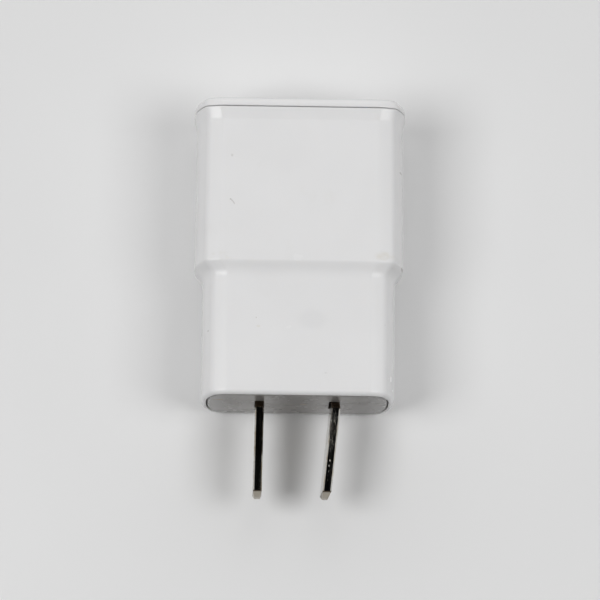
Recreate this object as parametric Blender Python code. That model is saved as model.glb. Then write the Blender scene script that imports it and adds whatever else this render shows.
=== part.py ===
"""USB wall charger: a stepped body with two fixed mains blades at one end and a USB-A port at the other.

The charger lies on its back. X runs across its width, Y along its length from the blades to the port,
and Z up through its thickness. The origin is the middle of the outlet face, which seats on the wall.
"""

import math

import bmesh
import bpy
from mathutils import Matrix

MM = 0.001

# Housing: a wide section at the port end steps down to a narrower section at the blade end. Front and
# back are flat. From the edge of each, the surface dips to a middle band on the side, which stands out
# by the section's bulge. It dips gently at first, then turns a tight corner, then falls steeply.
BODY_LENGTH = 49.0 * MM
UPPER_WIDTH = 35.2 * MM
UPPER_DEPTH = 20.4 * MM
UPPER_BULGE = 4.3 * MM
WAIST_INSET = 0.2 * MM
LOWER_WIDTH = 32.4 * MM
LOWER_DEPTH = 18.9 * MM
LOWER_BULGE = 4.2 * MM
SIDE_FLAT = 3.0 * MM
EDGE_SHARE = 0.44
EDGE_DIP = math.radians(9)
CORNER_START = math.radians(22)
CORNER_FINISH = math.radians(75)
STEP_AT = 22.9 * MM
STEP_LENGTH = 3.4 * MM
STEP_SHARPNESS = 4
FLARE_LENGTH = 3.3 * MM
FLARE = 0.25 * MM
STEP_STATIONS = (0, 0.08, 0.16, 0.25, 0.35, 0.48, 0.65, 1)
END_ROUND = 0.9 * MM
WALL = 1.6 * MM

# Cap over the port end.
CAP_THICKNESS = 1.4 * MM
CAP_ROUND = 0.6 * MM
LIP_LENGTH = 2.0 * MM
LIP_WALL = 1.2 * MM

# Plate set into the blade end.
PLATE_FLANGE = 1.2 * MM
PLATE_THICKNESS = 3.0 * MM
PLATE_BEVEL = 0.35 * MM

# Mains blades. Both are a little bent: they lean towards the middle by their angles, where a negative
# one leans outwards, and the right one is twisted about its length.
# Behind the plate's face a blade's tail is thinner, which leaves a shoulder flush with the face.
BLADE_SPACING = 12.7 * MM
BLADE_WIDTH = 6.35 * MM
BLADE_THICKNESS = 1.48 * MM
BLADE_REACH = 15.9 * MM
BLADE_TAIL = 9.0 * MM
TAIL_THICKNESS = 1.3 * MM
BLADE_EDGE = 0.18 * MM
TIP_LENGTH = 0.8 * MM
TIP_SIDE_BEVEL = 0.28 * MM
TIP_EDGE_BEVEL = 2.0 * MM
LEFT_BLADE_LEAN = math.radians(-0.8)
RIGHT_BLADE_LEAN = math.radians(5.4)
RIGHT_BLADE_TWIST = math.radians(3.0)
BEND_LENGTH = 1.5 * MM
CARRIER_THICKNESS = 2.5 * MM
CARRIER_MARGIN = 1.8 * MM
CONTACT_THICKNESS = 0.3 * MM
CONTACT_FOOT = 2.0 * MM
CONTACT_WIDTH = 2.4 * MM

# USB-A port.
PORT_WIDTH = 12.5 * MM
PORT_HEIGHT = 5.12 * MM
PORT_DEPTH = 14.0 * MM
PORT_RECESS = 0.3 * MM
PORT_CORNER = 0.5 * MM
SHELL_SHEET = 0.3 * MM
TONGUE_WIDTH = 11.1 * MM
TONGUE_THICKNESS = 1.84 * MM
TONGUE_LENGTH = 11.0 * MM
TONGUE_OFFSET = 0.86 * MM
PIN_WIDTH = 1.0 * MM
PIN_THICKNESS = 0.25 * MM
PIN_SPACINGS = (-3.5 * MM, -1.0 * MM, 1.0 * MM, 3.5 * MM)
PIN_LENGTH = 8.0 * MM
PIN_BEND_START = 0.6
PIN_BEND_PEAK = 0.85

# Circuit board and what stands on it. A profile lists (place, radius), as shares of the half length or
# length and of the full radius.
BOARD_THICKNESS = 1.2 * MM
BOARD_CLEARANCE = 0.4 * MM
SHEET_THICKNESS = 0.3 * MM
RESISTOR_DIAMETER = 3.0 * MM
RESISTOR_LENGTH = 8.0 * MM
RESISTOR_PROFILE = ((-1, 0.85), (-0.75, 1), (-0.6, 0.85), (0.6, 0.85), (0.75, 1), (1, 0.85))
CAPACITOR_DIAMETER = 8.0 * MM
CAPACITOR_PROFILE = ((0, 0.9), (0.03, 1), (0.14, 1), (0.19, 0.9), (0.24, 1), (0.97, 1), (1, 0.9))
OUTPUT_CAPACITOR_DIAMETER = 6.3 * MM
OUTPUT_CAPACITOR_LENGTH = 9.0 * MM
DISC_DIAMETER = 6.0 * MM
DISC_THICKNESS = 2.8 * MM
DISC_PROFILE = ((-1, 0.8), (-0.5, 1), (0.5, 1), (1, 0.8))
LEAD = 0.6 * MM
LEAD_RUN = 1.4 * MM
INDUCTOR_HEIGHT = 8.0 * MM
INDUCTOR_FLANGE_SHARE = 1 / 6
INDUCTOR_WAIST_SHARE = 1 / 2
TRANSFORMER_WIDTH = 14.0 * MM
CORE_BACK = 1.8 * MM
CORE_LEG = 2.0 * MM
CENTRE_LEG = 3.6 * MM
BOBBIN_WALL = 0.7 * MM
TAPE_THICKNESS = 0.3 * MM
TAPE_HEIGHT_SHARE = 0.8
CHIP_HEIGHT = 1.5 * MM
BRIDGE_SIZE = (4.0 * MM, 4.7 * MM)
CONTROLLER_SIZE = (3.9 * MM, 4.9 * MM)
DIODE_SIZE = (2.6 * MM, 4.3 * MM)
OPTOCOUPLER_SIZE = (4.4 * MM, 4.6 * MM)
LEG_THICKNESS = 0.2 * MM
LEG_WIDTH_SHARE = 0.4
SMALL_PART_SIZE = (3.2 * MM, 1.6 * MM, 0.8 * MM)

# Gaps between neighbours.
CLEARANCE = 0.3 * MM
SLOT_CLEARANCE = 0.3 * MM
SPACING = 0.5 * MM
FINE_GAP = 0.15 * MM

CORNER_STEPS = 8
DIP_STEPS = 2
TURN_STEPS = 4
FALL_STEPS = 2
EDGE_STEPS = 4

# Values worked out from the sizes above.
CAP_START = BODY_LENGTH + CLEARANCE
PORT_FACE = CAP_START + CAP_THICKNESS
LOWER_CAVITY = (LOWER_WIDTH / 2 - WALL, LOWER_DEPTH / 2 - WALL)
UPPER_CAVITY = (UPPER_WIDTH / 2 - WALL, UPPER_DEPTH / 2 - WALL)
ROOM_DEPTH = min(LOWER_CAVITY[1], UPPER_CAVITY[1])
LEDGE_AT = PLATE_FLANGE + CLEARANCE
CARRIER_START = PLATE_THICKNESS + CLEARANCE
CARRIER_END = CARRIER_START + CARRIER_THICKNESS
SHELL_WIDTH = PORT_WIDTH + 2 * SHELL_SHEET
SHELL_HEIGHT = PORT_HEIGHT + 2 * SHELL_SHEET
SHELL_FRONT = PORT_FACE - PORT_RECESS
SHELL_BACK = SHELL_FRONT - PORT_DEPTH
BOARD_START = CARRIER_END + CLEARANCE
BOARD_END = BODY_LENGTH - LIP_LENGTH - SPACING
BOARD_TOP = -SHELL_HEIGHT / 2 - BOARD_CLEARANCE
BOARD_BOTTOM = BOARD_TOP - BOARD_THICKNESS
SEAT = BOARD_TOP + CLEARANCE
UNDERSIDE = BOARD_BOTTOM - CLEARANCE
RESISTOR_AT = BLADE_TAIL + SPACING + RESISTOR_DIAMETER / 2
POWER_START = RESISTOR_AT + RESISTOR_DIAMETER / 2 + SPACING
POWER_HALF = (SHELL_BACK - POWER_START - 2 * SPACING) / 2
TRANSFORMER_START = POWER_START + POWER_HALF + SPACING
TRANSFORMER_END = TRANSFORMER_START + POWER_HALF


def material(name, colour, roughness, metallic=0.0):
    made = bpy.data.materials.new(name)
    made.use_nodes = True
    shader = made.node_tree.nodes["Principled BSDF"]
    shader.inputs["Base Color"].default_value = (*colour, 1.0)
    shader.inputs["Roughness"].default_value = roughness
    shader.inputs["Metallic"].default_value = metallic
    return made


def add_object(name, mesh_builder, finish, helper=False, sharp=40):
    """One object from a bmesh. A helper is a cutter or an added shape, and isn't rendered."""
    bmesh.ops.recalc_face_normals(mesh_builder, faces=mesh_builder.faces)
    mesh = bpy.data.meshes.new(name)
    mesh_builder.to_mesh(mesh)
    mesh_builder.free()
    mesh.shade_smooth()
    mesh.set_sharp_from_angle(angle=math.radians(sharp))
    made = bpy.data.objects.new(name, mesh)
    bpy.context.scene.collection.objects.link(made)
    if helper:
        made.hide_render = True
        made.display_type = "WIRE"
    else:
        mesh.materials.append(finish)
        made.parent = ASSEMBLY
    return made


def boolean(target, other, operation):
    change = target.modifiers.new(operation.title(), "BOOLEAN")
    change.operation = operation
    change.object = other


def corner_outline(half_width, half_height, radius, rise_radius=None, steps=CORNER_STEPS):
    """A rectangle with round or elliptical corners, as points anticlockwise. One step gives chamfers."""
    rise_radius = rise_radius or radius
    points = []
    for corner, (side, rise) in enumerate(((1, 1), (-1, 1), (-1, -1), (1, -1))):
        for step in range(steps + 1):
            angle = math.pi / 2 * (corner + step / steps)
            across = side * (half_width - radius) + radius * math.cos(angle)
            up = rise * (half_height - rise_radius) + rise_radius * math.sin(angle)
            points.append((across, up))
    return points


def arc_run(start, finish):
    """How far an arc of radius 1 goes across and down while its dip goes from one angle to another."""
    return math.sin(finish) - math.sin(start), math.cos(start) - math.cos(finish)


def side_profile(bulge, rise):
    """Points (out, down) from the edge of the flat front to the flat band on the side.

    Three arcs follow each other: a gentle one from the edge, a tight one and a long steep one. The last
    two share a tangent, and their radii make the whole end at the bulge and the rise.
    """
    edge = arc_run(EDGE_DIP, CORNER_START)
    corner = arc_run(CORNER_START, CORNER_FINISH)
    side = arc_run(CORNER_FINISH, math.pi / 2)
    edge_radius = bulge * EDGE_SHARE / edge[0]
    out = bulge - edge_radius * edge[0]
    down = rise - edge_radius * edge[1]
    share = corner[0] * side[1] - corner[1] * side[0]
    corner_radius = (out * side[1] - down * side[0]) / share
    side_radius = (corner[0] * down - corner[1] * out) / share
    points = [(0.0, 0.0)]
    for radius, start, finish, steps in (
        (edge_radius, EDGE_DIP, CORNER_START, DIP_STEPS),
        (corner_radius, CORNER_START, CORNER_FINISH, TURN_STEPS),
        (side_radius, CORNER_FINISH, math.pi / 2, FALL_STEPS),
    ):
        corner_point = points[-1]
        for step in range(1, steps + 1):
            run = arc_run(start, start + (finish - start) * step / steps)
            points.append((corner_point[0] + radius * run[0], corner_point[1] + radius * run[1]))
    return points


def body_outline(half_width, half_depth, bulge):
    """A section of the body: flat front and back, and sides that bulge."""
    profile = side_profile(bulge, half_depth - SIDE_FLAT / 2)
    corner = [(half_width - bulge + out, half_depth - down) for out, down in profile[::-1]]
    upper = corner + [(-across, up) for across, up in corner[::-1]]
    return upper + [(-across, -up) for across, up in upper]


def room_half_width(level):
    """Half the width inside the housing at a height, where its narrower section is."""
    found = []
    for (half_width, half_depth), bulge in ((LOWER_CAVITY, LOWER_BULGE), (UPPER_CAVITY, UPPER_BULGE)):
        profile = side_profile(bulge - WALL, half_depth - SIDE_FLAT / 2)
        down = half_depth - max(abs(level), SIDE_FLAT / 2)
        for (out_1, down_1), (out_2, down_2) in zip(profile, profile[1:]):
            if down_1 <= down <= down_2 + FINE_GAP:
                share = (down - down_1) / (down_2 - down_1)
                out = out_1 + (out_2 - out_1) * min(share, 1)
        found.append(half_width - (bulge - WALL) + out)
    return min(found)


BOARD_HALF = room_half_width(BOARD_BOTTOM) - CLEARANCE


def circle_outline(radius, sides=20):
    return [
        (radius * math.cos(2 * math.pi * k / sides), radius * math.sin(2 * math.pi * k / sides))
        for k in range(sides)
    ]


def turn(across, up, angle):
    """A section's point turned from up towards across by an angle."""
    return (
        across * math.cos(angle) + up * math.sin(angle),
        up * math.cos(angle) - across * math.sin(angle),
    )


def lengthwise(across, up, along):
    """A section's point with its axis along Y."""
    return (across, along, up)


def upright(across, up, along):
    """A section's point with its axis along Z."""
    return (across, up, along)


def crosswise(across, up, along):
    """A section's point with its axis along X."""
    return (along, across, up)


def loft(rings, place=lengthwise, loop=False):
    """Skins rings of equal length, each (distance along, outline). A loop joins the last to the first."""
    made = bmesh.new()
    levels = []
    for along, outline in rings:
        levels.append([made.verts.new(place(across, up, along)) for across, up in outline])
    pairs = list(zip(levels, levels[1:]))
    if loop:
        pairs.append((levels[-1], levels[0]))
    for lower, upper in pairs:
        count = len(lower)
        for k in range(count):
            after = (k + 1) % count
            made.faces.new((lower[k], lower[after], upper[after], upper[k]))
    if not loop:
        made.faces.new(levels[0])
        made.faces.new(levels[-1])
    return made


def prism(outline, start, end, place=lengthwise):
    return loft([(start, outline), (end, outline)], place)


def boxes(*spans):
    """Boxes in one mesh, each ((low x, low y, low z), (high x, high y, high z))."""
    made = bmesh.new()
    for low, high in spans:
        size = [high[k] - low[k] for k in range(3)]
        middle = [(high[k] + low[k]) / 2 for k in range(3)]
        bmesh.ops.create_cube(
            made, size=1.0, matrix=Matrix.Translation(middle) @ Matrix.Diagonal((*size, 1.0))
        )
    return made


def strip_outline(path, thickness):
    """The outline of a bent strip, half its thickness to each side of a path of points."""
    sides = []
    for k, (across, up) in enumerate(path):
        before = path[max(k - 1, 0)]
        after = path[min(k + 1, len(path) - 1)]
        turns = []
        for first, second in ((before, (across, up)), ((across, up), after)):
            run = (second[0] - first[0], second[1] - first[1])
            length = math.hypot(*run)
            if length > 0:
                turns.append((-run[1] / length, run[0] / length))
        normal = [sum(side[axis] for side in turns) / len(turns) for axis in range(2)]
        reach = thickness / 2 / (normal[0] ** 2 + normal[1] ** 2)
        sides.append((normal[0] * reach, normal[1] * reach))
    left = [(p[0] + s[0], p[1] + s[1]) for p, s in zip(path, sides)]
    right = [(p[0] - s[0], p[1] - s[1]) for p, s in zip(path, sides)]
    return left + right[::-1]


def step_share(travel):
    """How much of the step has dropped at a share of its length: a tight outer edge, then a long hollow."""
    return 1 - (1 - travel) ** STEP_SHARPNESS * (1 + STEP_SHARPNESS * travel)


def section_outline(width, depth, bulge, grow=0.0):
    return body_outline(width / 2 + grow, depth / 2 + grow, bulge + grow)


def flared_outline(share):
    """The outline a share of the way from the waist to the flared end of the wide section."""
    swell = share**2
    width = UPPER_WIDTH + 2 * (-WAIST_INSET + (FLARE + WAIST_INSET) * swell)
    depth = UPPER_DEPTH + 2 * FLARE * swell
    return body_outline(width / 2, depth / 2, UPPER_BULGE)


def outer_housing_rings():
    """The outside of the housing from the port end down to the rim round the outlet face."""
    rings = []
    for step in range(EDGE_STEPS + 1):
        share = step / EDGE_STEPS
        rings.append((BODY_LENGTH - FLARE_LENGTH * share, flared_outline(1 - share)))
    for share in STEP_STATIONS:
        drop = step_share(share)
        width = UPPER_WIDTH + (LOWER_WIDTH - UPPER_WIDTH) * drop
        depth = UPPER_DEPTH + (LOWER_DEPTH - UPPER_DEPTH) * drop
        bulge = UPPER_BULGE + (LOWER_BULGE - UPPER_BULGE) * drop
        rings.append((STEP_AT - STEP_LENGTH * share, section_outline(width, depth, bulge)))
    for step in range(EDGE_STEPS + 1):
        angle = math.pi / 2 * step / EDGE_STEPS
        along = END_ROUND * (1 - math.sin(angle))
        grow = END_ROUND * (math.cos(angle) - 1)
        rings.append((along, section_outline(LOWER_WIDTH, LOWER_DEPTH, LOWER_BULGE, grow)))
    return rings


def make_housing():
    mouth = section_outline(LOWER_WIDTH, LOWER_DEPTH, LOWER_BULGE, -END_ROUND)
    lower = body_outline(*LOWER_CAVITY, LOWER_BULGE - WALL)
    upper = body_outline(*UPPER_CAVITY, UPPER_BULGE - WALL)
    rings = outer_housing_rings()[:-1] + [
        (0, mouth),
        (LEDGE_AT, mouth),
        (LEDGE_AT, lower),
        (STEP_AT - STEP_LENGTH / 4, lower),
        (STEP_AT + STEP_LENGTH / 4, upper),
        (BODY_LENGTH, upper),
    ]
    add_object("housing", loft(rings, loop=True), WHITE)


def make_port_cap():
    outer = [(CAP_START, section_outline(UPPER_WIDTH, UPPER_DEPTH, UPPER_BULGE, FLARE))]
    for step in range(EDGE_STEPS + 1):
        angle = math.pi / 2 * step / EDGE_STEPS
        along = PORT_FACE - CAP_ROUND * (1 - math.sin(angle))
        grow = FLARE - CAP_ROUND * (1 - math.cos(angle))
        outer.append((along, section_outline(UPPER_WIDTH, UPPER_DEPTH, UPPER_BULGE, grow)))
    mouth = corner_outline(
        SHELL_WIDTH / 2 + CLEARANCE, SHELL_HEIGHT / 2 + CLEARANCE, PORT_CORNER + CLEARANCE
    )
    inset = WALL + CLEARANCE
    lip = section_outline(UPPER_WIDTH, UPPER_DEPTH, UPPER_BULGE, -inset)
    inset_width = UPPER_WIDTH - 2 * LIP_WALL
    inset_depth = UPPER_DEPTH - 2 * LIP_WALL
    inside = section_outline(inset_width, inset_depth, UPPER_BULGE, -inset)
    lip_end = CAP_START - CLEARANCE - LIP_LENGTH
    rings = outer + [
        (PORT_FACE, mouth),
        (CAP_START, mouth),
        (CAP_START, inside),
        (lip_end, inside),
        (lip_end, lip),
        (CAP_START, lip),
    ]
    add_object("port_cap", loft(rings, loop=True), WHITE)


def blade_slots(name, start, end, low=-BLADE_WIDTH / 2 - SLOT_CLEARANCE):
    """Two cutters that clear the blades between two distances along the body, from a level up."""
    spans = []
    for side in (-1, 1):
        middle = side * BLADE_SPACING / 2
        across = BLADE_THICKNESS / 2 + SLOT_CLEARANCE
        high = BLADE_WIDTH / 2 + SLOT_CLEARANCE
        spans.append(((middle - across, start, low), (middle + across, end, high)))
    return add_object(name, boxes(*spans), None, helper=True)


def make_blade_plate():
    inset = END_ROUND + CLEARANCE
    face = section_outline(LOWER_WIDTH, LOWER_DEPTH, LOWER_BULGE, -inset - PLATE_BEVEL)
    flange = section_outline(LOWER_WIDTH, LOWER_DEPTH, LOWER_BULGE, -inset)
    plug = section_outline(LOWER_WIDTH, LOWER_DEPTH, LOWER_BULGE, -WALL - CLEARANCE)
    rings = [
        (0, face),
        (PLATE_BEVEL, flange),
        (PLATE_FLANGE, flange),
        (PLATE_FLANGE, plug),
        (PLATE_THICKNESS, plug),
    ]
    plate = add_object("blade_plate", loft(rings), GREY_WHITE)
    slots = blade_slots("plate_slot_cutter", -WALL, PLATE_THICKNESS + WALL)
    boolean(plate, slots, "DIFFERENCE")


def make_blade_carrier():
    half_width = (BLADE_SPACING + BLADE_THICKNESS) / 2 + CARRIER_MARGIN
    half_depth = BLADE_WIDTH / 2 + CARRIER_MARGIN
    block = boxes(
        ((-half_width, CARRIER_START, -half_depth), (half_width, CARRIER_END, half_depth))
    )
    carrier = add_object("blade_carrier", block, BLACK_PLASTIC)
    slots = blade_slots("carrier_slot_cutter", CARRIER_START - WALL, CARRIER_END + WALL)
    boolean(carrier, slots, "DIFFERENCE")


def make_blade(name, side, lean=0.0, twist=0.0):
    """A flat blade with chamfered edges, on a slightly thinner tail that runs through the plate.

    Outside the plate it leans towards the middle by an angle, and past its bend it is twisted by another.
    """
    thick = BLADE_THICKNESS / 2
    wide = BLADE_WIDTH / 2
    tail = corner_outline(TAIL_THICKNESS / 2, wide, BLADE_EDGE, steps=1)
    full = corner_outline(thick, wide, BLADE_EDGE, steps=1)
    tip = corner_outline(thick - TIP_SIDE_BEVEL, wide - TIP_EDGE_BEVEL, BLADE_EDGE, steps=1)
    middle = side * BLADE_SPACING / 2
    rings = []
    for along, outline, angle in (
        (BLADE_TAIL, tail, 0),
        (0, tail, 0),
        (0, full, 0),
        (-BEND_LENGTH, full, twist),
        (TIP_LENGTH - BLADE_REACH, full, twist),
        (-BLADE_REACH, tip, twist),
    ):
        shift = middle - side * max(-along, 0) * math.tan(lean)
        turned = [turn(across, up, angle) for across, up in outline]
        rings.append((along, [(across + shift, up) for across, up in turned]))
    add_object(name, loft(rings), NICKEL, sharp=20)


def make_blade_contact(name, side):
    """A bent spring strip that stands on the board and presses on the outer side of a blade's tail."""
    beside = BLADE_SPACING / 2 + TAIL_THICKNESS / 2 + FINE_GAP + CONTACT_THICKNESS / 2
    foot = SEAT + CONTACT_THICKNESS / 2
    path = (
        (side * (beside + CONTACT_FOOT), foot),
        (side * beside, foot),
        (side * beside, BLADE_WIDTH / 4),
        (side * (beside + CONTACT_THICKNESS), BLADE_WIDTH / 3),
    )
    outline = strip_outline(path, CONTACT_THICKNESS)
    start = BOARD_START + CLEARANCE
    add_object(name, prism(outline, start, start + CONTACT_WIDTH), BRASS, sharp=20)


def make_board():
    """The board, with a notch in its front edge for the tail of each blade."""
    span = ((-BOARD_HALF, BOARD_START, BOARD_BOTTOM), (BOARD_HALF, BOARD_END, BOARD_TOP))
    board = add_object("main_circuit_board", boxes(span), BOARD_GREEN)
    start = BOARD_START - WALL
    end = BLADE_TAIL + CLEARANCE
    notches = blade_slots("board_notch_cutter", start, end, low=BOARD_BOTTOM - WALL)
    boolean(board, notches, "DIFFERENCE")


def make_insulation_sheet():
    low = -ROOM_DEPTH + CLEARANCE
    half = room_half_width(low) - CLEARANCE
    span = ((-half, BOARD_START, low), (half, BOARD_END, low + SHEET_THICKNESS))
    add_object("insulation_sheet", boxes(span), CLEAR_SHEET)


def make_fusible_resistor():
    """A round resistor lying across the board on two bent leads."""
    radius = RESISTOR_DIAMETER / 2
    half = RESISTOR_LENGTH / 2
    height = SEAT + radius + LEAD
    rings = []
    for place, share in RESISTOR_PROFILE:
        outline = [(a + RESISTOR_AT, u + height) for a, u in circle_outline(radius * share, 16)]
        rings.append((half * place, outline))
    body = add_object("fusible_resistor", loft(rings, crosswise), RESISTOR_GREEN)
    reach = half + LEAD_RUN
    path = ((-reach, SEAT), (-reach, height), (reach, height), (reach, SEAT))
    wire = prism(strip_outline(path, LEAD), RESISTOR_AT - LEAD / 2, RESISTOR_AT + LEAD / 2)
    boolean(body, add_object("resistor_leads_shape", wire, None, helper=True), "UNION")


def make_lying_capacitor(name, middle, start, length, diameter):
    """A round electrolytic capacitor lying along the board, crimped near its end, on two bent leads."""
    radius = diameter / 2
    height = SEAT + radius
    lead_end = start + LEAD_RUN
    can = length - LEAD_RUN
    rings = []
    for along, share in CAPACITOR_PROFILE:
        outline = [(a + middle, u + height) for a, u in circle_outline(radius * share)]
        rings.append((lead_end + can * along, outline))
    body = add_object(name, loft(rings), CAPACITOR_SLEEVE)
    path = ((start + LEAD / 2, SEAT), (start + LEAD / 2, height), (lead_end + LEAD, height))
    outline = strip_outline(path, LEAD)
    wires = bmesh.new()
    for side in (-1, 1):
        offset = middle + side * diameter / 5
        wire = prism(outline, offset - LEAD / 2, offset + LEAD / 2, crosswise)
        mesh = bpy.data.meshes.new(name + "_wire")
        wire.to_mesh(mesh)
        wire.free()
        wires.from_mesh(mesh)
        bpy.data.meshes.remove(mesh)
    boolean(body, add_object(name + "_leads_shape", wires, None, helper=True), "UNION")


def make_capacitors():
    beside = BOARD_HALF - CAPACITOR_DIAMETER / 2 - FINE_GAP
    for number, side in ((1, -1), (2, 1)):
        make_lying_capacitor(
            f"input_capacitor_{number}", side * beside, POWER_START, POWER_HALF, CAPACITOR_DIAMETER
        )
    beside = BOARD_HALF - OUTPUT_CAPACITOR_DIAMETER / 2 - FINE_GAP
    start = BOARD_END - OUTPUT_CAPACITOR_LENGTH
    for number, side in ((1, -1), (2, 1)):
        make_lying_capacitor(
            f"output_capacitor_{number}",
            side * beside,
            start,
            OUTPUT_CAPACITOR_LENGTH,
            OUTPUT_CAPACITOR_DIAMETER,
        )


def make_filter_inductor():
    """A drum core standing between the two input capacitors, with its winding in the drum's waist."""
    between = BOARD_HALF - CAPACITOR_DIAMETER - FINE_GAP - SPACING
    radius = min(between, POWER_HALF / 2)
    middle = POWER_START + POWER_HALF / 2
    waist = radius * INDUCTOR_WAIST_SHARE
    flange = INDUCTOR_HEIGHT * INDUCTOR_FLANGE_SHARE
    top = SEAT + INDUCTOR_HEIGHT

    def ring(along, size):
        return (along, [(a, u + middle) for a, u in circle_outline(size, 24)])

    core = [
        ring(SEAT, radius),
        ring(SEAT + flange, radius),
        ring(SEAT + flange, waist),
        ring(top - flange, waist),
        ring(top - flange, radius),
        ring(top, radius),
    ]
    add_object("filter_inductor_core", loft(core, upright), FERRITE)
    low = SEAT + flange + FINE_GAP
    high = top - flange - FINE_GAP
    coil = [
        ring(low, waist + FINE_GAP),
        ring(low, radius - FINE_GAP),
        ring(high, radius - FINE_GAP),
        ring(high, waist + FINE_GAP),
    ]
    add_object("filter_inductor_winding", loft(coil, upright, loop=True), COPPER)


def make_transformer():
    """Two E-shaped ferrite halves on a bobbin, the winding round it, and tape round the outside."""
    low = SEAT
    high = ROOM_DEPTH - CLEARANCE
    middle_height = (low + high) / 2
    half_height = (high - low) / 2
    middle = (TRANSFORMER_START + TRANSFORMER_END) / 2
    half_width = TRANSFORMER_WIDTH / 2 - TAPE_THICKNESS - FINE_GAP
    start = TRANSFORMER_START + TAPE_THICKNESS + FINE_GAP
    window = half_width - CORE_LEG
    build = window - CENTRE_LEG / 2 - 2 * CLEARANCE - BOBBIN_WALL
    core_half_height = max(half_height - build - BOBBIN_WALL - CLEARANCE, CENTRE_LEG / 2)
    split = middle - FINE_GAP

    def across_core(mirror):
        points = (
            (-half_width, start),
            (half_width, start),
            (half_width, split),
            (window, split),
            (window, start + CORE_BACK),
            (CENTRE_LEG / 2, start + CORE_BACK),
            (CENTRE_LEG / 2, split),
            (-CENTRE_LEG / 2, split),
            (-CENTRE_LEG / 2, start + CORE_BACK),
            (-window, start + CORE_BACK),
            (-window, split),
            (-half_width, split),
        )
        return [(a, 2 * middle - u if mirror else u) for a, u in points]

    bottom = middle_height - core_half_height
    top = middle_height + core_half_height
    add_object("transformer_core_front", prism(across_core(False), bottom, top, upright), FERRITE)
    add_object("transformer_core_rear", prism(across_core(True), bottom, top, upright), FERRITE)

    def section(half_x, half_z, corner=4 * FINE_GAP):
        return [(a, u + middle_height) for a, u in corner_outline(half_x, half_z, corner, steps=2)]

    hole = section(CENTRE_LEG / 2 + FINE_GAP, core_half_height + FINE_GAP, FINE_GAP)
    tube_x = CENTRE_LEG / 2 + FINE_GAP + BOBBIN_WALL
    tube_z = core_half_height + FINE_GAP + BOBBIN_WALL
    tube = section(tube_x, tube_z)
    flange = section(window - FINE_GAP, half_height)
    first = start + CORE_BACK + FINE_GAP
    last = 2 * middle - first
    bobbin = [
        (first, hole),
        (first, flange),
        (first + BOBBIN_WALL, flange),
        (first + BOBBIN_WALL, tube),
        (last - BOBBIN_WALL, tube),
        (last - BOBBIN_WALL, flange),
        (last, flange),
        (last, hole),
    ]
    add_object("transformer_bobbin", loft(bobbin, loop=True), BLACK_PLASTIC)
    near = first + BOBBIN_WALL + FINE_GAP
    far = 2 * middle - near
    inner = section(tube_x + FINE_GAP, tube_z + FINE_GAP)
    outer = section(window - 2 * FINE_GAP, half_height - FINE_GAP)
    winding = [(near, inner), (near, outer), (far, outer), (far, inner)]
    add_object("transformer_winding", loft(winding, loop=True), TAPE_YELLOW)

    def wrap(grow):
        inside = (TRANSFORMER_WIDTH / 2 - TAPE_THICKNESS, POWER_HALF / 2 - TAPE_THICKNESS)
        outline = corner_outline(inside[0] + grow, inside[1] + grow, FINE_GAP + grow, steps=2)
        return [(a, u + middle) for a, u in outline]

    tape_low = middle_height - core_half_height * TAPE_HEIGHT_SHARE
    tape_high = middle_height + core_half_height * TAPE_HEIGHT_SHARE
    tape = [
        (tape_low, wrap(0)),
        (tape_low, wrap(TAPE_THICKNESS)),
        (tape_high, wrap(TAPE_THICKNESS)),
        (tape_high, wrap(0)),
    ]
    add_object("transformer_tape", loft(tape, upright, loop=True), TAPE_YELLOW)


def make_safety_capacitor():
    """A ceramic disc standing beside the transformer, bridging its two sides."""
    edge = TRANSFORMER_WIDTH / 2
    middle = (edge + BOARD_HALF) / 2
    radius = min(DISC_DIAMETER, POWER_HALF - 2 * SPACING) / 2
    height = SEAT + radius + LEAD_RUN
    along = (TRANSFORMER_START + TRANSFORMER_END) / 2
    half = DISC_THICKNESS / 2
    rings = []
    for place, share in DISC_PROFILE:
        outline = [(a + along, u + height) for a, u in circle_outline(radius * share)]
        rings.append((middle + half * place, outline))
    body = add_object("safety_capacitor", loft(rings, crosswise), CERAMIC_BLUE)
    spans = []
    for side in (-1, 1):
        place = along + side * radius / 2
        spans.append(
            ((middle - LEAD / 2, place - LEAD / 2, SEAT), (middle + LEAD / 2, place + LEAD / 2, height))
        )
    boolean(body, add_object("disc_leads_shape", boxes(*spans), None, helper=True), "UNION")


def make_chip(name, middle, along, size, height, legs, underside):
    """A moulded chip with a row of gull-wing legs on each side. Size is (across, along)."""
    half_x = size[0] / 2
    half_y = size[1] / 2
    low = UNDERSIDE - height if underside else SEAT
    foot = UNDERSIDE - LEG_THICKNESS if underside else SEAT
    body = boxes(
        ((middle - half_x, along - half_y, low), (middle + half_x, along + half_y, low + height))
    )
    chip = add_object(name, body, BLACK_PLASTIC)
    spans = []
    pitch = size[1] / legs
    reach = half_x + LEAD
    leg_half = pitch * LEG_WIDTH_SHARE / 2
    for leg in range(legs):
        place = along - half_y + pitch * (leg + 0.5)
        spans.append(
            (
                (middle - reach, place - leg_half, foot),
                (middle + reach, place + leg_half, foot + LEG_THICKNESS),
            )
        )
    boolean(chip, add_object(name + "_legs_shape", boxes(*spans), None, helper=True), "UNION")


def make_chips():
    primary = POWER_START + POWER_HALF / 2
    power = (TRANSFORMER_START + TRANSFORMER_END) / 2
    make_chip("bridge_rectifier", BOARD_HALF / 2, primary, BRIDGE_SIZE, CHIP_HEIGHT, 2, True)
    make_chip("controller_chip", -BOARD_HALF / 2, primary, CONTROLLER_SIZE, CHIP_HEIGHT, 4, True)
    make_chip("output_diode", BOARD_HALF / 2, power, DIODE_SIZE, CHIP_HEIGHT, 1, True)
    beside = (TRANSFORMER_WIDTH / 2 + BOARD_HALF) / 2
    make_chip("optocoupler", -beside, power, OPTOCOUPLER_SIZE, 2 * CHIP_HEIGHT, 2, False)


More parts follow.
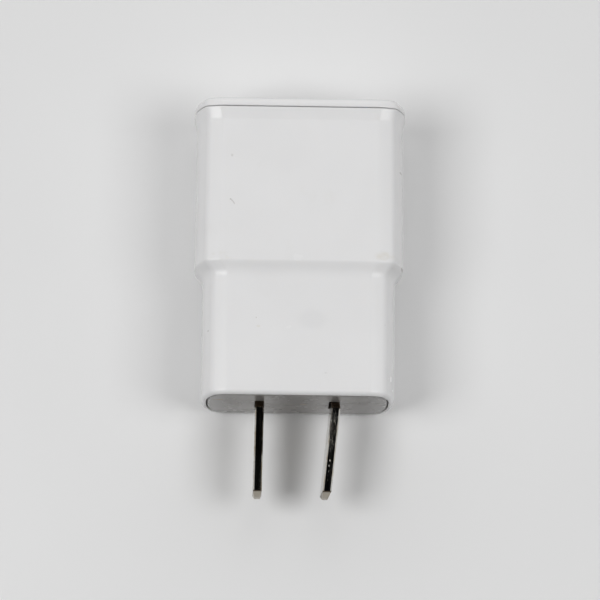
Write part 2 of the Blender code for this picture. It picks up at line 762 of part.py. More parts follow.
def make_small_parts():
    """Surface-mounted parts on the underside of the board."""
    power = (TRANSFORMER_START + TRANSFORMER_END) / 2
    for name, middle, finish in (
        ("snubber_resistor", -BOARD_HALF / 2, BLACK_PLASTIC),
        ("snubber_capacitor", 0.0, CERAMIC_TAN),
    ):
        half_x = SMALL_PART_SIZE[0] / 2
        half_y = SMALL_PART_SIZE[1] / 2
        tall = SMALL_PART_SIZE[2]
        span = (
            (middle - half_x, power - half_y, UNDERSIDE - tall),
            (middle + half_x, power + half_y, UNDERSIDE),
        )
        add_object(name, boxes(span), finish)


def make_usb_port():
    """The port's sheet-metal shell, the plastic tongue inside it and the four contacts under the tongue."""
    inner = corner_outline(PORT_WIDTH / 2, PORT_HEIGHT / 2, PORT_CORNER - FINE_GAP, steps=3)
    outer = corner_outline(SHELL_WIDTH / 2, SHELL_HEIGHT / 2, PORT_CORNER, steps=3)
    rings = [
        (SHELL_BACK + SHELL_SHEET, inner),
        (SHELL_FRONT, inner),
        (SHELL_FRONT, outer),
        (SHELL_BACK, outer),
    ]
    add_object("usb_shell", loft(rings), SHELL_STEEL)
    back = SHELL_BACK + SHELL_SHEET + CLEARANCE
    front = back + TONGUE_LENGTH
    low = TONGUE_OFFSET - TONGUE_THICKNESS / 2
    high = TONGUE_OFFSET + TONGUE_THICKNESS / 2
    half = TONGUE_WIDTH / 2
    block_low = -PORT_HEIGHT / 2 + CLEARANCE
    block = back + (PORT_DEPTH - TONGUE_LENGTH) / 2
    outline = (
        (back, block_low),
        (block, block_low),
        (block, low),
        (front, low),
        (front, high),
        (back, high),
    )
    add_object("usb_tongue", prism(outline, -half, half, crosswise), TONGUE_WHITE)
    for number, middle in enumerate(PIN_SPACINGS, start=1):
        level = low - FINE_GAP - PIN_THICKNESS / 2
        start = block + FINE_GAP
        path = (
            (start, level),
            (start + PIN_LENGTH * PIN_BEND_START, level),
            (start + PIN_LENGTH * PIN_BEND_PEAK, level - PIN_THICKNESS),
            (start + PIN_LENGTH, level),
        )
        strip = prism(
            strip_outline(path, PIN_THICKNESS), middle - PIN_WIDTH / 2, middle + PIN_WIDTH / 2, crosswise
        )
        add_object(f"usb_contact_{number}", strip, GOLD, sharp=20)


for old in list(bpy.data.objects):
    bpy.data.objects.remove(old)

WHITE = material("white_gloss_plastic", (0.80, 0.80, 0.81), 0.18)
GREY_WHITE = material("plate_plastic", (0.62, 0.62, 0.62), 0.3)
BLACK_PLASTIC = material("black_plastic", (0.03, 0.03, 0.03), 0.5)
NICKEL = material("nickel_plate", (0.66, 0.64, 0.60), 0.22, 1.0)
BRASS = material("brass_spring", (0.75, 0.56, 0.25), 0.3, 1.0)
GOLD = material("gold_contact", (0.90, 0.66, 0.28), 0.25, 1.0)
SHELL_STEEL = material("shell_steel", (0.62, 0.62, 0.63), 0.25, 1.0)
TONGUE_WHITE = material("tongue_plastic", (0.75, 0.75, 0.74), 0.45)
BOARD_GREEN = material("board_green", (0.05, 0.22, 0.09), 0.4)
CLEAR_SHEET = material("insulation_film", (0.70, 0.70, 0.64), 0.35)
RESISTOR_GREEN = material("resistor_enamel", (0.20, 0.35, 0.30), 0.5)
CAPACITOR_SLEEVE = material("capacitor_sleeve", (0.04, 0.05, 0.07), 0.35)
CERAMIC_BLUE = material("disc_lacquer", (0.07, 0.20, 0.48), 0.4)
CERAMIC_TAN = material("chip_ceramic", (0.48, 0.37, 0.25), 0.6)
FERRITE = material("ferrite", (0.06, 0.06, 0.06), 0.55)
COPPER = material("enamelled_copper", (0.62, 0.28, 0.12), 0.3, 1.0)
TAPE_YELLOW = material("polyester_tape", (0.80, 0.60, 0.08), 0.4)

ASSEMBLY = bpy.data.objects.new("charger", None)
bpy.context.scene.collection.objects.link(ASSEMBLY)

make_housing()
make_port_cap()
make_blade_plate()
make_blade_carrier()
make_blade("left_blade", -1, LEFT_BLADE_LEAN)
make_blade("right_blade", 1, RIGHT_BLADE_LEAN, RIGHT_BLADE_TWIST)
make_blade_contact("left_blade_contact", -1)
make_blade_contact("right_blade_contact", 1)
make_board()
make_insulation_sheet()
make_fusible_resistor()
make_capacitors()
make_filter_inductor()
make_transformer()
make_safety_capacitor()
make_chips()
make_small_parts()
make_usb_port()
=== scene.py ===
"""USB wall charger lying on its back on a pale surface: fine surfaces, materials, light and camera.

The frame is the CAD's: X across, Y along its length towards the USB end, Z up. The origin is the
middle of the outlet face.
"""

import math

import bmesh
import bpy
from mathutils import Matrix, Vector


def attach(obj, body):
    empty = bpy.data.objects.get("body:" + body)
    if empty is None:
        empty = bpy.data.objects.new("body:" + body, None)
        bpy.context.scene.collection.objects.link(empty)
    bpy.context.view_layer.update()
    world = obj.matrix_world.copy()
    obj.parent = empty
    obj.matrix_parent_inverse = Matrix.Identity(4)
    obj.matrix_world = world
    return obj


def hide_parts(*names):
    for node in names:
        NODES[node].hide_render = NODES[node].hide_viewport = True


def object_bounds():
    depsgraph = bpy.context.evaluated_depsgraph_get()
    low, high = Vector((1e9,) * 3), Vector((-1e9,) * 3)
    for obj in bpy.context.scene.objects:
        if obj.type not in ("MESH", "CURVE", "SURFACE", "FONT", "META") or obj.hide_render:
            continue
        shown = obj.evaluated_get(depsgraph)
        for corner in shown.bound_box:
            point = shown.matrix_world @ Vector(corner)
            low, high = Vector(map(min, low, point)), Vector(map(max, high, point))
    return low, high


MM = 0.001

# Sizes of the CAD model that the fine surfaces follow.
BODY_LENGTH = 49.0 * MM
UPPER_WIDTH = 35.2 * MM
UPPER_DEPTH = 20.4 * MM
UPPER_BULGE = 4.3 * MM
WAIST_INSET = 0.2 * MM
LOWER_WIDTH = 32.4 * MM
LOWER_DEPTH = 18.9 * MM
LOWER_BULGE = 4.2 * MM
SIDE_FLAT = 3.0 * MM
EDGE_SHARE = 0.44
EDGE_DIP = math.radians(9)
CORNER_START = math.radians(22)
CORNER_FINISH = math.radians(75)
STEP_AT = 22.9 * MM
STEP_LENGTH = 3.4 * MM
STEP_SHARPNESS = 4
FLARE_LENGTH = 3.3 * MM
FLARE = 0.25 * MM
END_ROUND = 0.75 * MM
WALL = 1.6 * MM
CAP_START = 49.3 * MM
PORT_FACE = 50.7 * MM
CAP_ROUND = 0.95 * MM
LIP_LENGTH = 2.0 * MM
PLATE_THICKNESS = 3.0 * MM
BLADE_SPACING = 12.7 * MM
BLADE_WIDTH = 6.35 * MM
BLADE_THICKNESS = 1.48 * MM
BLADE_REACH = 15.9 * MM
BLADE_TAIL = 9.0 * MM
TIP_LENGTH = 0.8 * MM
TIP_SIDE_BEVEL = 0.28 * MM
TIP_EDGE_BEVEL = 2.0 * MM
LEFT_BLADE_LEAN = math.radians(-0.8)
RIGHT_BLADE_LEAN = math.radians(5.4)
RIGHT_BLADE_TWIST = math.radians(3.0)
PORT_WIDTH = 12.5 * MM
PORT_HEIGHT = 5.12 * MM

# Finer detail than the CAD model has.
OUTER_CORNER_FINISH = math.radians(66)
FRONT_FLARE_LENGTH = 1.95 * MM
RIM_SETBACK = 0.12 * MM
SEAM_GAP = 0.17 * MM
EDGE_RADIUS = 0.12 * MM
GROOVE_GAP = 0.2 * MM
SUPPORT = 0.15 * MM
FIT_GAP = 0.3 * MM
LIP_WALL = 1.2 * MM
FLANGE_AT = 1.2 * MM
MOUTH_DEPTH = 1.5 * MM
PLATE_LEVEL = 0.05 * MM
PLATE_BEVEL = 0.45 * MM
PORT_SURROUND = 0.42 * MM
PORT_CORNER = 0.7 * MM
PORT_LEAD = 0.25 * MM
BLADE_EDGE = 0.2 * MM
BLADE_BEND = 1.2 * MM
DIP_STEPS = 10
TURN_STEPS = 26
FALL_STEPS = 12
FLAT_STEPS = 6

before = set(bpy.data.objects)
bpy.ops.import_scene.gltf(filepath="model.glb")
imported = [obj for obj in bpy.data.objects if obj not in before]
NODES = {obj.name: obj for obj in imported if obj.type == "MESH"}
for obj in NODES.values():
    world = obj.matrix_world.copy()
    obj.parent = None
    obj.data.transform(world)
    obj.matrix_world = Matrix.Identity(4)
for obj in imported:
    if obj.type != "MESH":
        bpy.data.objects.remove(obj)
CAD_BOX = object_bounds()


# ---------------------------------------------------------------- geometry

def arc_run(start, finish):
    """How far an arc of radius 1 goes across and down while its dip goes from one angle to another."""
    return math.sin(finish) - math.sin(start), math.cos(start) - math.cos(finish)


def side_profile(bulge, rise):
    """Points (out, down) from the edge of the flat front to the flat band on the side: three arcs.

    The outer surfaces have a tighter corner than the CAD model's, and the walls' insides keep its shape.
    """
    finish = OUTER_CORNER_FINISH if bulge > UPPER_BULGE - WALL + SUPPORT else CORNER_FINISH
    edge = arc_run(EDGE_DIP, CORNER_START)
    corner = arc_run(CORNER_START, finish)
    side = arc_run(finish, math.pi / 2)
    edge_radius = bulge * EDGE_SHARE / edge[0]
    out = bulge - edge_radius * edge[0]
    down = rise - edge_radius * edge[1]
    share = corner[0] * side[1] - corner[1] * side[0]
    corner_radius = (out * side[1] - down * side[0]) / share
    side_radius = (corner[0] * down - corner[1] * out) / share
    points = [(0.0, 0.0)]
    for radius, start, finish, steps in (
        (edge_radius, EDGE_DIP, CORNER_START, DIP_STEPS),
        (corner_radius, CORNER_START, finish, TURN_STEPS),
        (side_radius, finish, math.pi / 2, FALL_STEPS),
    ):
        base = points[-1]
        for step in range(1, steps + 1):
            run = arc_run(start, start + (finish - start) * step / steps)
            points.append((base[0] + radius * run[0], base[1] + radius * run[1]))
    return points


def body_outline(half_width, half_depth, bulge):
    """A section of the body: flat front and back, three arcs at each corner, flat bands at the sides."""
    profile = side_profile(bulge, half_depth - SIDE_FLAT / 2)
    right_top = [(half_width - bulge + out, half_depth - down) for out, down in profile[::-1]]
    quarter = [(half_width, SIDE_FLAT / 2 - SUPPORT)] + right_top
    run = half_width - bulge
    shares = [1 - SUPPORT / run] + [1 - k / FLAT_STEPS for k in range(1, FLAT_STEPS)]
    quarter += [(run * share, half_depth) for share in shares]
    upper = [(half_width, 0.0)] + quarter + [(0.0, half_depth)]
    upper += [(-a, u) for a, u in quarter[::-1]]
    lower = [(-half_width, 0.0)] + [(-a, -u) for a, u in quarter]
    lower += [(0.0, -half_depth)] + [(a, -u) for a, u in quarter[::-1]]
    return upper + lower


def section(width, depth, bulge, grow=0.0):
    return body_outline(width / 2 + grow, depth / 2 + grow, bulge + grow)


def rounded_outline(half_width, half_height, radius, steps=8):
    points = []
    for corner, (side, rise) in enumerate(((1, 1), (-1, 1), (-1, -1), (1, -1))):
        for step in range(steps + 1):
            angle = math.pi / 2 * (corner + step / steps)
            points.append(
                (
                    side * (half_width - radius) + radius * math.cos(angle),
                    rise * (half_height - radius) + radius * math.sin(angle),
                )
            )
    return points


def loft(rings, loop=False):
    """Skins rings of equal length, each (distance along, outline). A loop joins the last to the first."""
    made = bmesh.new()
    levels = [
        [made.verts.new((across, along, up)) for across, up in outline]
        for along, outline in rings
    ]
    pairs = list(zip(levels, levels[1:]))
    if loop:
        pairs.append((levels[-1], levels[0]))
    for lower, upper in pairs:
        count = len(lower)
        for k in range(count):
            after = (k + 1) % count
            made.faces.new((lower[k], lower[after], upper[after], upper[k]))
    if not loop:
        made.faces.new(levels[0])
        made.faces.new(levels[-1])
    return made


def add_piece(name, mesh_builder, finish, node, sharp=35):
    """A shown piece that rides on the body and stands for CAD nodes."""
    bmesh.ops.recalc_face_normals(mesh_builder, faces=mesh_builder.faces)
    mesh = bpy.data.meshes.new(name)
    mesh_builder.to_mesh(mesh)
    mesh_builder.free()
    mesh.shade_smooth()
    mesh.set_sharp_from_angle(angle=math.radians(sharp))
    mesh.materials.append(finish)
    made = bpy.data.objects.new(name, mesh)
    bpy.context.scene.collection.objects.link(made)
    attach(made, "root")
    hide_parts(*([node] if isinstance(node, str) else node))
    return made


def cut(piece, cutter):
    """Subtracts a closed bmesh from a piece and leaves no modifier or cutter behind."""
    bmesh.ops.recalc_face_normals(cutter, faces=cutter.faces)
    mesh = bpy.data.meshes.new(piece.name + "_cutter")
    cutter.to_mesh(mesh)
    cutter.free()
    tool = bpy.data.objects.new(mesh.name, mesh)
    bpy.context.scene.collection.objects.link(tool)
    change = piece.modifiers.new("Cut", "BOOLEAN")
    change.operation = "DIFFERENCE"
    change.object = tool
    bpy.context.view_layer.update()
    graph = bpy.context.evaluated_depsgraph_get()
    result = bpy.data.meshes.new_from_object(piece.evaluated_get(graph), depsgraph=graph)
    piece.modifiers.remove(change)
    old = piece.data
    piece.data = result
    bpy.data.meshes.remove(old)
    bpy.data.objects.remove(tool)
    bpy.data.meshes.remove(mesh)
    result.name = piece.name


def arc(start, middle_offset, radius, steps, first, last):
    """(along, grow) pairs of a rounded edge from one angle to another."""
    pairs = []
    for step in range(steps + 1):
        angle = math.radians(first + (last - first) * step / steps)
        pairs.append((start + radius * math.sin(angle), middle_offset + radius * math.cos(angle)))
    return pairs


def step_share(travel):
    """How much of the step has dropped at a share of its length: a tight outer edge, then a long hollow."""
    return 1 - (1 - travel) ** STEP_SHARPNESS * (1 + STEP_SHARPNESS * travel)


def flared(share, grow=0.0):
    """The sides flare in a curve. The front and back have a shorter straight flare with a crease."""
    swell = share**2
    lift = max(0.0, 1 - (1 - share) * FLARE_LENGTH / FRONT_FLARE_LENGTH)
    half_width = UPPER_WIDTH / 2 - WAIST_INSET + (FLARE + WAIST_INSET) * swell + grow
    half_depth = UPPER_DEPTH / 2 + FLARE * lift + grow
    return body_outline(half_width, half_depth, UPPER_BULGE + grow)


HOUSING_END = (BODY_LENGTH + CAP_START) / 2 - SEAM_GAP / 2
CAP_END = (BODY_LENGTH + CAP_START) / 2 + SEAM_GAP / 2


def make_housing(finish):
    rings = []
    for along, grow in arc(HOUSING_END - EDGE_RADIUS, -EDGE_RADIUS, EDGE_RADIUS, 4, 90, 0):
        rings.append((along, flared(1, grow)))
    flare_steps = 22
    run = HOUSING_END - EDGE_RADIUS - (BODY_LENGTH - FLARE_LENGTH)
    for step in range(1, flare_steps + 1):
        share = step / flare_steps
        rings.append((HOUSING_END - EDGE_RADIUS - run * share, flared(1 - share)))
    waist = BODY_LENGTH - FLARE_LENGTH
    for share in (0.02, 0.2, 0.4, 0.6, 0.8, 0.97):
        along = waist + (STEP_AT - waist) * share
        width = UPPER_WIDTH - 2 * WAIST_INSET * (1 - share)
        rings.append((along, section(width, UPPER_DEPTH, UPPER_BULGE)))
    step_steps = 36
    for step in range(step_steps + 1):
        share = (step / step_steps) ** 1.5
        drop = step_share(share)
        width = UPPER_WIDTH + (LOWER_WIDTH - UPPER_WIDTH) * drop
        depth = UPPER_DEPTH + (LOWER_DEPTH - UPPER_DEPTH) * drop
        bulge = UPPER_BULGE + (LOWER_BULGE - UPPER_BULGE) * drop
        rings.append((STEP_AT - STEP_LENGTH * share, section(width, depth, bulge)))
    foot = STEP_AT - STEP_LENGTH
    for share in (0.03, 0.35, 0.7, 0.98):
        along = foot + (RIM_SETBACK + END_ROUND - foot) * share
        rings.append((along, section(LOWER_WIDTH, LOWER_DEPTH, LOWER_BULGE)))
    for step in range(13):
        angle = math.pi / 2 * step / 12
        along = RIM_SETBACK + END_ROUND * (1 - math.sin(angle))
        grow = END_ROUND * (math.cos(angle) - 1)
        rings.append((along, section(LOWER_WIDTH, LOWER_DEPTH, LOWER_BULGE, grow)))
    mouth = -END_ROUND - EDGE_RADIUS
    for step in range(1, 5):
        angle = math.pi / 2 * step / 4
        along = RIM_SETBACK + EDGE_RADIUS * (1 - math.cos(angle))
        grow = -END_ROUND - EDGE_RADIUS * math.sin(angle)
        rings.append((along, section(LOWER_WIDTH, LOWER_DEPTH, LOWER_BULGE, grow)))
    rings += [
        (MOUTH_DEPTH, section(LOWER_WIDTH, LOWER_DEPTH, LOWER_BULGE, mouth)),
        (MOUTH_DEPTH, section(LOWER_WIDTH, LOWER_DEPTH, LOWER_BULGE, -WALL)),
        (STEP_AT - STEP_LENGTH / 4, section(LOWER_WIDTH, LOWER_DEPTH, LOWER_BULGE, -WALL)),
        (STEP_AT + STEP_LENGTH / 4, section(UPPER_WIDTH, UPPER_DEPTH, UPPER_BULGE, -WALL)),
        (HOUSING_END, section(UPPER_WIDTH, UPPER_DEPTH, UPPER_BULGE, -WALL)),
    ]
    return add_piece("housing_shell", loft(rings, loop=True), finish, "housing")


def make_port_cap(finish):
    outer = []
    for along, grow in arc(CAP_END + EDGE_RADIUS, FLARE - EDGE_RADIUS, EDGE_RADIUS, 4, -90, 0):
        outer.append((along, section(UPPER_WIDTH, UPPER_DEPTH, UPPER_BULGE, grow)))
    for along, grow in arc(PORT_FACE - CAP_ROUND, FLARE - CAP_ROUND, CAP_ROUND, 12, 0, 90):
        outer.append((along, section(UPPER_WIDTH, UPPER_DEPTH, UPPER_BULGE, grow)))
    count = len(outer[0][1])
    inset = WALL + FIT_GAP
    inside_width = UPPER_WIDTH - 2 * LIP_WALL
    inside = section(inside_width, UPPER_DEPTH - 2 * LIP_WALL, UPPER_BULGE, -inset)
    inner = [
        (PORT_FACE - LIP_WALL, inside),
        (CAP_START - LIP_LENGTH, inside),
        (CAP_START - LIP_LENGTH, section(UPPER_WIDTH, UPPER_DEPTH, UPPER_BULGE, -inset)),
        (CAP_END, section(UPPER_WIDTH, UPPER_DEPTH, UPPER_BULGE, -inset)),
    ]
    made = bmesh.new()
    levels = [
        [made.verts.new((a, along, u)) for a, u in outline] for along, outline in outer + inner
    ]
    for lower, upper in list(zip(levels, levels[1:])) + [(levels[-1], levels[0])]:
        if lower is levels[len(outer) - 1]:
            continue
        for k in range(count):
            after = (k + 1) % count
            made.faces.new((lower[k], lower[after], upper[after], upper[k]))
    made.faces.new(levels[len(outer) - 1])
    made.faces.new(levels[len(outer)])
    cap = add_piece("port_cap_shell", made, finish, "port_cap")
    half_width = PORT_WIDTH / 2 + PORT_SURROUND
    half_height = PORT_HEIGHT / 2 + PORT_SURROUND
    radius = PORT_CORNER
    mouth = [(PORT_FACE - 3 * MM, rounded_outline(half_width, half_height, radius))]
    for step in range(6):
        angle = math.pi / 2 * step / 5
        along = PORT_FACE - PORT_LEAD * (1 - math.sin(angle))
        grow = PORT_LEAD * (1 - math.cos(angle))
        mouth.append((along, rounded_outline(half_width + grow, half_height + grow, radius + grow)))
    wide = rounded_outline(half_width + PORT_LEAD, half_height + PORT_LEAD, radius + PORT_LEAD)
    mouth.append((PORT_FACE + 1 * MM, wide))
    cut(cap, loft(mouth))
    return cap


def make_blade_plate(finish):
    inset = END_ROUND + EDGE_RADIUS + GROOVE_GAP

    def outline(grow):
        return section(LOWER_WIDTH, LOWER_DEPTH, LOWER_BULGE, -inset + grow)

    rings = []
    for step in range(7):
        angle = math.pi / 2 * step / 6
        rings.append(
            (
                PLATE_LEVEL + PLATE_BEVEL * (1 - math.cos(angle)),
                outline(-PLATE_BEVEL * (1 - math.sin(angle))),
            )
        )
    flange = section(LOWER_WIDTH, LOWER_DEPTH, LOWER_BULGE, -WALL - FIT_GAP)
    rings += [(FLANGE_AT, outline(0)), (FLANGE_AT, flange), (PLATE_THICKNESS, flange)]
    plate = add_piece("blade_plate_face", loft(rings), finish, "blade_plate")
    for side, margin, offset in ((-1, 0.06 * MM, -0.02 * MM), (1, 0.17 * MM, -0.13 * MM)):
        middle = side * BLADE_SPACING / 2 + offset
        half = BLADE_THICKNESS / 2 + margin
        shape = [
            (a + middle, u)
            for a, u in rounded_outline(half, BLADE_WIDTH / 2 - 0.1 * MM + margin, 0.2 * MM, 3)
        ]
        cut(plate, loft([(-1 * MM, shape), (PLATE_THICKNESS + 1 * MM, shape)]))
    return plate


def blade_section(half_thick, half_wide, edge):
    """A blade's section: flat faces and narrow chamfers at its four long edges."""
    return rounded_outline(half_thick, half_wide, edge, 1)


def make_blade(name, node, side, lean, twist, finish):
    thick = BLADE_THICKNESS / 2
    wide = BLADE_WIDTH / 2
    middle = side * BLADE_SPACING / 2
    stations = [BLADE_TAIL, 4 * MM, 0.6 * MM, 0.0]
    count = 30
    slope = side * math.tan(lean) * BLADE_REACH / (BLADE_REACH - BLADE_BEND / 2)
    reach = BLADE_REACH - TIP_LENGTH
    stations += [-reach * (k + 1) / count for k in range(count)]
    rings = []
    for along in stations:
        out = max(-along, 0)
        # The bend grows over its first stretch, and then the blade runs straight.
        bent = out - BLADE_BEND / 2 if out > BLADE_BEND else out**2 / (2 * BLADE_BEND)
        share = min(out / BLADE_BEND, 1)
        angle = twist * share * share * (3 - 2 * share)
        shift = middle - slope * bent
        rings.append((along, shift, angle, blade_section(thick, wide, BLADE_EDGE)))
    tip_steps = 4
    for step in range(1, tip_steps + 1):
        share = step / tip_steps
        out = reach + TIP_LENGTH * share
        bent = out - BLADE_BEND / 2
        shift = middle - slope * bent
        outline = blade_section(
            thick - TIP_SIDE_BEVEL * share,
            wide - TIP_EDGE_BEVEL * share,
            BLADE_EDGE * (1 - 0.25 * share),
        )
        rings.append((-out, shift, twist, outline))
    skin = []
    for along, shift, angle, outline in rings:
        turned = [
            (
                a * math.cos(angle) + u * math.sin(angle) + shift,
                u * math.cos(angle) - a * math.sin(angle),
            )
            for a, u in outline
        ]
        skin.append((along, turned))
    return add_piece(name, loft(skin), finish, node, sharp=28)


# ---------------------------------------------------------------- materials

class Graph:
    """A short way to write a material's nodes."""

    def __init__(self, name):
        self.material = bpy.data.materials.new(name)
        self.material.use_nodes = True
        self.tree = self.material.node_tree
        self.shader = self.tree.nodes["Principled BSDF"]
        self.place = self.tree.nodes.new("ShaderNodeTexCoord").outputs["Object"]

    def set(self, **values):
        for key, value in values.items():
            self.shader.inputs[key.replace("_", " ")].default_value = value
        return self

    def join(self, source, target):
        self.tree.links.new(source, target)

    def feed(self, socket, value):
        if isinstance(value, (int, float)):
            socket.default_value = value
        elif isinstance(value, tuple):
            wants_alpha = len(value) == 3 and len(socket.default_value) == 4
            socket.default_value = (*value, 1.0) if wants_alpha else value
        else:
            self.join(value, socket)

    def stretch(self, scale, turn=(0, 0, 0)):
        made = self.tree.nodes.new("ShaderNodeMapping")
        made.inputs["Rotation"].default_value = turn
        made.inputs["Scale"].default_value = scale
        self.join(self.place, made.inputs["Vector"])
        return made.outputs["Vector"]

    def noise(self, scale, detail=3.0, rough=0.5, vector=None):
        made = self.tree.nodes.new("ShaderNodeTexNoise")
        made.inputs["Scale"].default_value = scale
        made.inputs["Detail"].default_value = detail
        made.inputs["Roughness"].default_value = rough
        self.join(vector or self.place, made.inputs["Vector"])
        return made.outputs["Fac"]

    def spots(self, scale):
        made = self.tree.nodes.new("ShaderNodeTexVoronoi")
        made.inputs["Scale"].default_value = scale
        self.join(self.place, made.inputs["Vector"])
        return made.outputs["Distance"]

    def span(self, value, low, high, to_low=0.0, to_high=1.0, smooth=False):
        made = self.tree.nodes.new("ShaderNodeMapRange")
        made.interpolation_type = "SMOOTHSTEP" if smooth else "LINEAR"
        self.feed(made.inputs["Value"], value)
        made.inputs["From Min"].default_value = low
        made.inputs["From Max"].default_value = high
        made.inputs["To Min"].default_value = to_low
        made.inputs["To Max"].default_value = to_high
        return made.outputs["Result"]

    def maths(self, operation, first, second=0.0):
        made = self.tree.nodes.new("ShaderNodeMath")
        made.operation = operation
        self.feed(made.inputs[0], first)
        self.feed(made.inputs[1], second)
        return made.outputs[0]

    def mix(self, share, first, second):
        made = self.tree.nodes.new("ShaderNodeMix")
        made.data_type = "RGBA"
        self.feed(made.inputs[0], share)
        self.feed(made.inputs[6], first)
        self.feed(made.inputs[7], second)
        return made.outputs[2]

    def near(self, point, radius, soft, squash=(1, 1, 1)):
        """1 inside a small ellipsoid round a point, falling to 0 over its soft edge."""
        shift = self.tree.nodes.new("ShaderNodeVectorMath")
        shift.operation = "SUBTRACT"
        self.join(self.place, shift.inputs[0])
        shift.inputs[1].default_value = point
        scaled = self.tree.nodes.new("ShaderNodeVectorMath")
        scaled.operation = "MULTIPLY"
        self.join(shift.outputs[0], scaled.inputs[0])
        scaled.inputs[1].default_value = squash
        length = self.tree.nodes.new("ShaderNodeVectorMath")
        length.operation = "LENGTH"
        self.join(scaled.outputs[0], length.inputs[0])
        return self.span(length.outputs["Value"], radius, radius * (1 + soft), 1.0, 0.0, smooth=True)

    def bump(self, height, distance, strength=1.0, before=None):
        made = self.tree.nodes.new("ShaderNodeBump")
        made.inputs["Strength"].default_value = strength
        made.inputs["Distance"].default_value = distance
        self.feed(made.inputs["Height"], height)
        if before:
            self.join(before, made.inputs["Normal"])
        return made.outputs["Normal"]

    def colour(self, value):
        self.feed(self.shader.inputs["Base Color"], value)

    def roughness(self, value):
        self.feed(self.shader.inputs["Roughness"], value)

    def normal(self, value):
        self.join(value, self.shader.inputs["Normal"])


def plain(name, colour, other, rough, grain, metallic=0.0, relief=0.01 * MM, stretch=(1, 1, 1)):
    """A finish with a fine grain: two colours, a wandering roughness and a low relief."""
    made = Graph(name)
    made.set(Metallic=metallic)
    vector = made.stretch(stretch)
    broad = made.noise(grain / 6, 2, vector=vector)
    fine = made.noise(grain, 4, 0.6, vector=vector)
    made.colour(made.mix(made.span(broad, 0.35, 0.65), colour, other))
    made.roughness(made.span(fine, 0.3, 0.7, rough * 0.8, rough * 1.25))
    made.normal(made.bump(fine, relief))
    return made.material


def white_shell():
    """Glossy moulded white with faint waviness and a few marks of handling."""
    made = Graph("moulded_white")
    made.set(IOR=1.5, Specular_IOR_Level=0.29)
    made.shader.inputs["Subsurface Weight"].default_value = 0.08
    made.shader.inputs["Subsurface Radius"].default_value = (1.0, 0.9, 0.8)
    made.shader.inputs["Subsurface Scale"].default_value = 0.6 * MM
    broad = made.noise(90, 3)
    colour = made.mix(made.span(broad, 0.35, 0.7), (0.816, 0.814, 0.816), (0.798, 0.796, 0.798))
    rubs = made.noise(260, 4, 0.6, vector=made.stretch((1, 0.5, 1)))
    colour = made.mix(made.span(rubs, 0.62, 0.8, 0, 0.25), colour, (0.74, 0.735, 0.71))
    top = UPPER_DEPTH / 2
    low_top = LOWER_DEPTH / 2
    marks = (
        ((-11.54 * MM, 40.64 * MM, top), 0.13 * MM, 0.9, (1, 0.8, 1), 0.3, (0.45, 0.44, 0.42)),
        ((-11.71 * MM, 33.08 * MM, top), 0.09 * MM, 0.6, (0.8, 1.2, 1), 0.6, (0.36, 0.34, 0.32)),
        ((-11.51 * MM, 32.91 * MM, top), 0.07 * MM, 0.6, (0.8, 0.8, 1), 0.5, (0.40, 0.38, 0.36)),
        ((-11.38 * MM, 32.77 * MM, top), 0.07 * MM, 0.6, (1, 0.8, 1), 0.45, (0.40, 0.38, 0.36)),
        ((-11.25 * MM, 32.62 * MM, top), 0.07 * MM, 0.6, (1, 0.7, 1), 0.45, (0.40, 0.38, 0.36)),
        ((-11.14 * MM, 32.45 * MM, top), 0.07 * MM, 0.6, (1, 0.7, 1), 0.4, (0.40, 0.38, 0.36)),
        ((-11.05 * MM, 32.31 * MM, top), 0.06 * MM, 0.6, (1, 0.7, 1), 0.35, (0.40, 0.38, 0.36)),
        ((-7.18 * MM, 13.08 * MM, low_top), 0.07 * MM, 0.9, (1, 1, 1), 0.5, (0.45, 0.43, 0.40)),
        ((-6.80 * MM, 11.61 * MM, low_top), 0.16 * MM, 0.9, (0.7, 1.2, 1), 0.22, (0.66, 0.62, 0.50)),
        ((2.2 * MM, 12.9 * MM, low_top), 0.8 * MM, 1.4, (0.6, 0.9, 1), 0.08, (0.50, 0.50, 0.51)),
        ((4.52 * MM, 3.81 * MM, low_top), 0.10 * MM, 0.9, (0.6, 1.6, 1), 0.3, (0.50, 0.50, 0.50)),
        ((14.43 * MM, 12.20 * MM, 8.9 * MM), 0.10 * MM, 0.8, (1, 1, 0.4), 0.4, (0.40, 0.38, 0.36)),
        ((-15.22 * MM, 11.09 * MM, 7.6 * MM), 0.12 * MM, 0.8, (1, 1, 0.2), 0.45, (0.36, 0.34, 0.32)),
        ((17.0 * MM, 38.9 * MM, 6.0 * MM), 0.12 * MM, 0.8, (0.6, 1, 0.1), 0.5, (0.3, 0.28, 0.25)),
        ((17.23 * MM, 22.69 * MM, 3.0 * MM), 0.16 * MM, 0.8, (0.6, 1, 0.1), 0.7, (0.3, 0.27, 0.24)),
        ((16.90 * MM, 21.31 * MM, 3.0 * MM), 0.14 * MM, 0.8, (0.6, 1, 0.1), 0.6, (0.3, 0.27, 0.24)),
    )
    for point, radius, soft, squash, strength, tone in marks:
        share = made.maths("MULTIPLY", made.near(point, radius, soft, squash), strength)
        colour = made.mix(share, colour, tone)
    grime_noise = made.noise(420, 4, 0.6)
    for point, radius, squash in (
        ((-13.36 * MM, 23.29 * MM, top), 2.0 * MM, (0.8, 2.0, 0.4)),
        ((14.23 * MM, 23.71 * MM, top), 2.0 * MM, (0.8, 2.0, 0.4)),
    ):
        patch = made.near(point, radius * 0.3, 2.4, squash)
        share = made.maths("MULTIPLY", patch, made.span(grime_noise, 0.42, 0.66, 0, 0.42))
        colour = made.mix(share, colour, (0.66, 0.61, 0.50))
    made.colour(colour)
    haze = made.noise(140, 4, 0.6)
    rough = made.span(haze, 0.3, 0.75, 0.22, 0.28)
    made.roughness(rough)
    made.normal(made.bump(made.noise(55, 2), 0.01 * MM))
    return made.material


